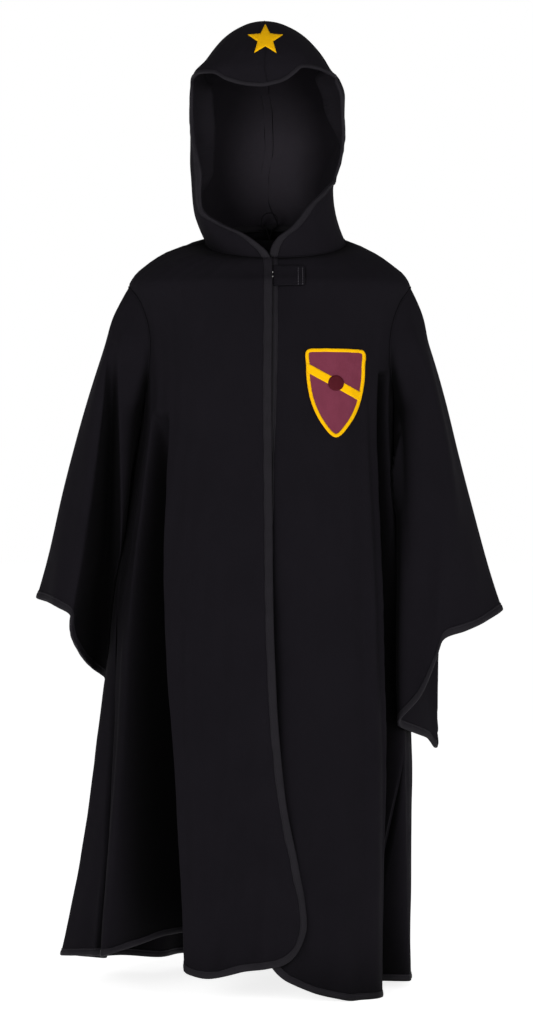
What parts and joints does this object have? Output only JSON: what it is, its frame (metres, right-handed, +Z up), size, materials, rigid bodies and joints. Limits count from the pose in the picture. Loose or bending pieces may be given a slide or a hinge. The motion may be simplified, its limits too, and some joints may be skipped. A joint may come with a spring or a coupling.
{
  "type": "hooded costume robe",
  "caption": "Child's hooded costume robe with flared sleeves, open front with a hook-and-loop neck tab, folded edge bindings and stitched appliqués.",
  "frame": {"origin": "under the neck, on the level of the lowest point of the hem, midway between the two sleeve tips and between the front and the back of the hem", "axes": "+Z up along the robe's length, the wearer faces -Y, the wearer's right hand is at -X"},
  "size_m": [0.56, 0.3064, 1.1515],
  "materials": {
    "robe_cloth": "napped, soft sheen",
    "edge_binding": "satin",
    "seam_allowance": "overlocked, matte",
    "ribbon": "satin",
    "label": "woven satin, blank",
    "gold_applique": "satin stitched",
    "wine_applique": "matte felt",
    "yellow_applique": "satin stitched",
    "maroon_applique": "satin stitched",
    "hook_and_loop": "fuzzy nylon",
    "thread": "satin"
  },
  "bodies": {
    "torso": {"back_hem_binding": "edge_binding", "back_panel": "robe_cloth", "care_label": "label", "front_panel_left": "robe_cloth", "front_panel_right": "robe_cloth", "hanging_loop": "ribbon", "loop_patch": "hook_and_loop", "neck_edge_binding_left": "edge_binding", "neck_edge_binding_right": "edge_binding", "neck_label": "label", "neck_seam_tape": "ribbon", "shield_roundel": "maroon_applique", "shield_field": "wine_applique", "shield_frame": "yellow_applique", "shoulder_seam_left": "seam_allowance", "shoulder_seam_right": "seam_allowance", "side_hem_binding_left": "edge_binding", "side_hem_binding_right": "edge_binding", "side_seam_left": "seam_allowance", "side_seam_right": "seam_allowance"},
    "front_right": {"front_flap_right": "robe_cloth", "front_binding_right": "edge_binding"},
    "front_left": {"front_flap_left": "robe_cloth", "front_binding_left": "edge_binding"},
    "neck_tab": {"closure_tab": "robe_cloth", "hook_patch": "hook_and_loop", "tab_stitching": "thread"},
    "hood": {"hood_panel_right": "robe_cloth", "hood_panel_left": "robe_cloth", "hood_edge_binding": "edge_binding", "hood_seam_tape": "ribbon", "hood_star": "gold_applique"},
    "sleeve_r": {"sleeve_right": "robe_cloth", "sleeve_hem_binding_right": "edge_binding", "armhole_seam_right": "seam_allowance"},
    "sleeve_l": {"sleeve_left": "robe_cloth", "sleeve_hem_binding_left": "edge_binding", "armhole_seam_left": "seam_allowance"}
  },
  "joints": [
    {"name": "hood_fold", "type": "hinge", "parent": "torso", "child": "hood", "pos_m": [0, 0.067, 0.903], "axis": [-1, 0, 0], "range_deg": [0, 90]},
    {"name": "sleeve_raise_right", "type": "hinge", "parent": "torso", "child": "sleeve_r", "pos_m": [-0.176, 0, 0.836], "axis": [0, 1, 0], "range_deg": [0, 75]},
    {"name": "sleeve_raise_left", "type": "hinge", "parent": "torso", "child": "sleeve_l", "pos_m": [0.176, 0, 0.836], "axis": [0, -1, 0], "range_deg": [0, 75]},
    {"name": "front_open_right", "type": "hinge", "parent": "torso", "child": "front_right", "pos_m": [-0.042, -0.092, 0.812], "axis": [-0.1075, -0.0666, -0.992], "range_deg": [0, 75]},
    {"name": "front_open_left", "type": "hinge", "parent": "torso", "child": "front_left", "pos_m": [0.012, -0.0985, 0.812], "axis": [-0.1077, 0.04, 0.9934], "range_deg": [0, 63.75]},
    {"name": "tab_peel", "type": "hinge", "parent": "torso", "child": "neck_tab", "pos_m": [0.0016, -0.082, 0.841], "axis": [0, -0.3011, -0.9536], "range_deg": [0, 150]}
  ],
  "couplings": [
    {"joint": "front_open_left", "follows": "front_open_right", "ratio": 0.85}
  ]
}
